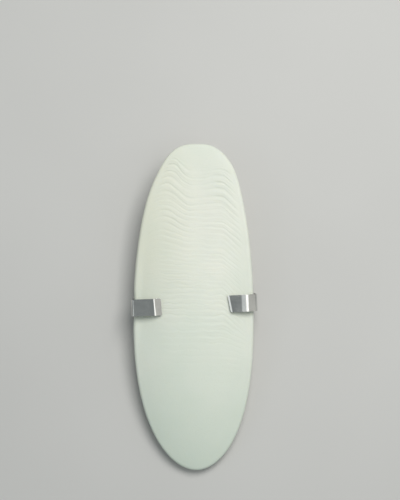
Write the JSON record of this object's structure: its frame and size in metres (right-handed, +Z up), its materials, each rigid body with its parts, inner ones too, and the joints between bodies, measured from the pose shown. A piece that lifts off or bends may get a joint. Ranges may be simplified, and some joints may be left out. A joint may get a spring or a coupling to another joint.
{
  "type": "cuttlebone",
  "caption": "Long oval chalky bone with wavy ledges on one half, gripped by a bent metal strip clip, for a bird to peck.",
  "frame": {"origin": "on the floor, under the middle of the bounding box, with the part lying on its back at rest", "axes": "+Y runs along the bone towards its blunt, ledged end; +Z is up, out of the ledged and smooth face; +X is to the right as the face is looked down on with the blunt end away. The bone's own face leans 6.5 degrees from level, since the clip's hook tongues hold its middle off the floor."},
  "size_m": [0.049, 0.1262, 0.019],
  "materials": {
    "chalk": "matte, chalky, pale grey-white with a faint cream and green tint",
    "steel": "bright plated sheet, lightly scuffed"
  },
  "bodies": {
    "root": {"bone": "chalk", "clip": "steel"}
  },
  "joints": []
}
